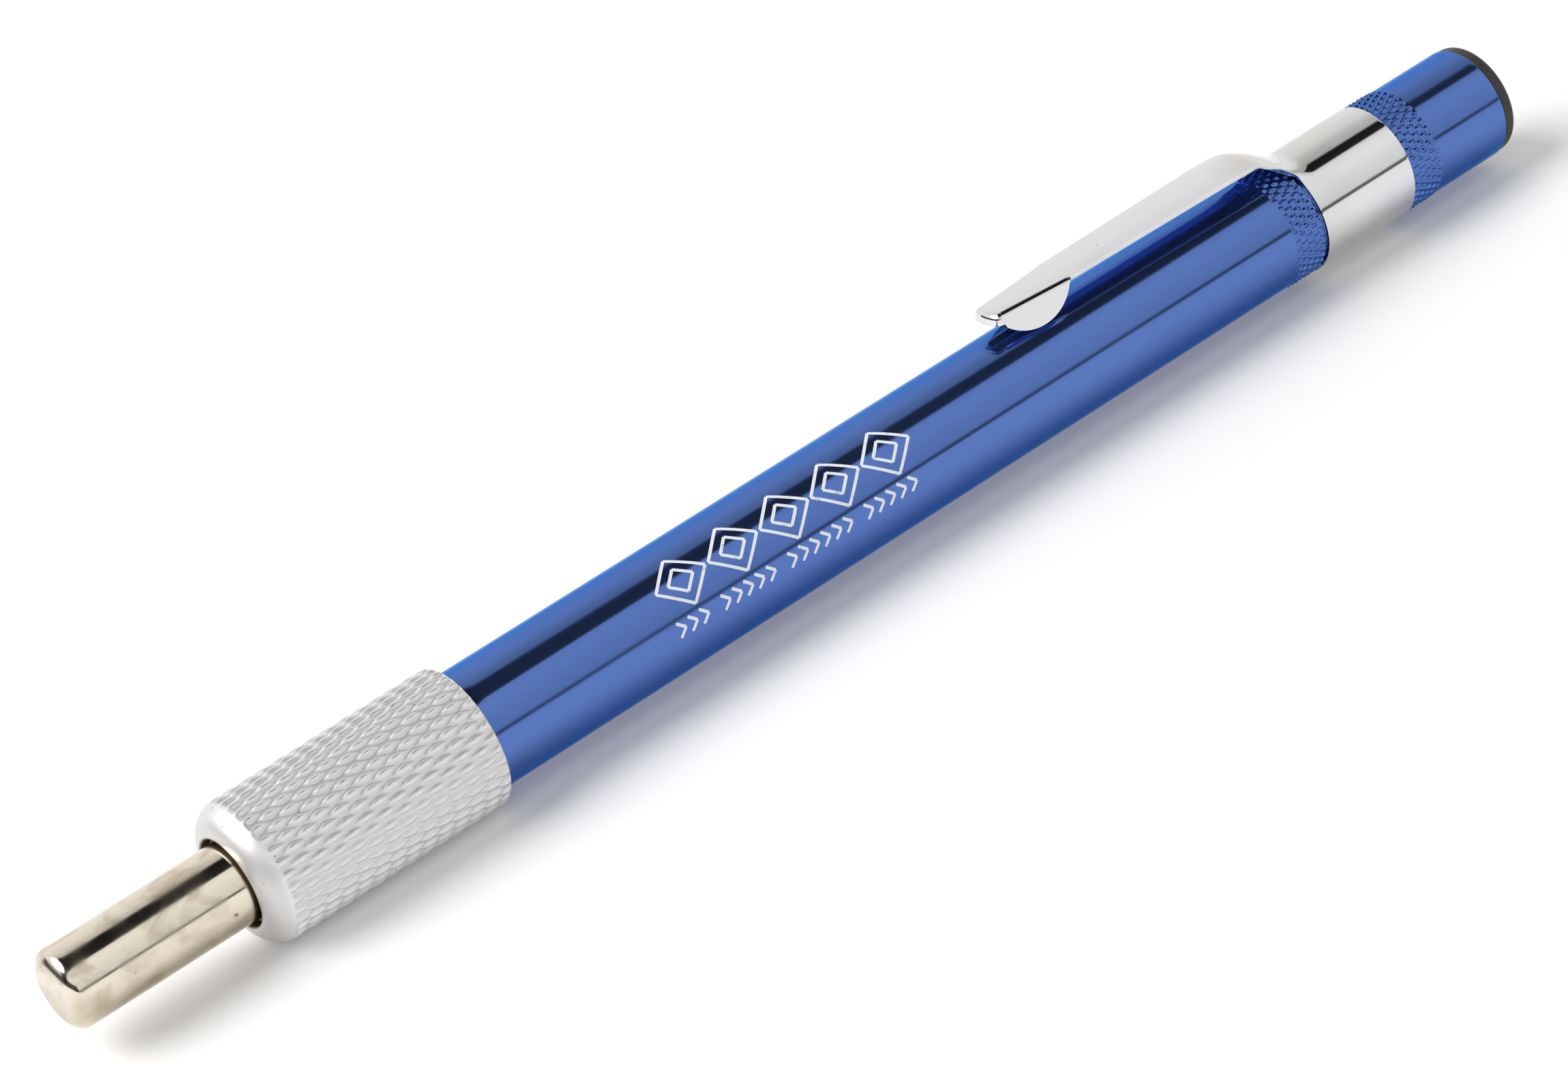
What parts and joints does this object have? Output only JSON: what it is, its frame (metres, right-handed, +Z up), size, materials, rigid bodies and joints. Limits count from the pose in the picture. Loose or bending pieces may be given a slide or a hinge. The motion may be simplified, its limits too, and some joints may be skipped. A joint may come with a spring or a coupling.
{
  "type": "pocket pen deburring rod",
  "caption": "Pen-shaped deburring tool: a tapered diamond rod stored in an aluminium barrel with a knurled collet nut and a pocket clip.",
  "frame": {"origin": "centre of the closed pen's length, on the underside of the chuck nut, in the clip's plane of symmetry", "axes": "+X along the pen towards the end plug, so the shank points to -X; +Z straight up through the pocket clip; +Y by the right-hand rule"},
  "size_m": [0.1392, 0.0114, 0.0127],
  "materials": {
    "anodised_blue": "bright-dipped and blue anodised, gloss",
    "nut_aluminium": "satin, diamond knurled",
    "brass": "machined",
    "nickel_shank": "nickel plated, bright, lightly marked",
    "diamond_plate": "diamond grit set in nickel plate, matt",
    "clip_chrome": "bright nickel-chrome plate on spring steel",
    "spring_wire": "phosphated spring wire",
    "black_plastic": "moulded, matt"
  },
  "bodies": {
    "barrel": {"barrel": "anodised_blue", "thread_bushing": "brass", "clip_ring": "clip_chrome", "end_plug": "black_plastic"},
    "collet": {"collet": "brass"},
    "chuck_nut": {"chuck_nut": "nut_aluminium", "collet_snap_ring": "spring_wire"},
    "rod": {"rod_shank": "nickel_shank", "diamond_rod": "diamond_plate"},
    "clip": {"clip_strap": "clip_chrome"}
  },
  "joints": [
    {"name": "chuck_advance", "type": "slide", "parent": "barrel", "child": "collet", "axis": [-1, 0, 0], "range_m": [0, 0.00505]},
    {"name": "chuck_turn", "type": "hinge", "parent": "collet", "child": "chuck_nut", "pos_m": [-0.04462, 0, 0.0057], "axis": [-1, 0, 0], "range_deg": [0, 1800]},
    {"name": "rod_slide", "type": "slide", "parent": "barrel", "child": "rod", "axis": [-1, 0, 0], "range_m": [0, 0.099]},
    {"name": "clip_flex", "type": "hinge", "parent": "barrel", "child": "clip", "pos_m": [0.04838, 0, 0.01064], "axis": [0, 1, 0], "range_deg": [0, 5], "stiffness_Nm_per_rad": 2}
  ],
  "couplings": [
    {"joint": "chuck_advance", "follows": "chuck_turn", "m_per_rad": 0.00015915}
  ]
}
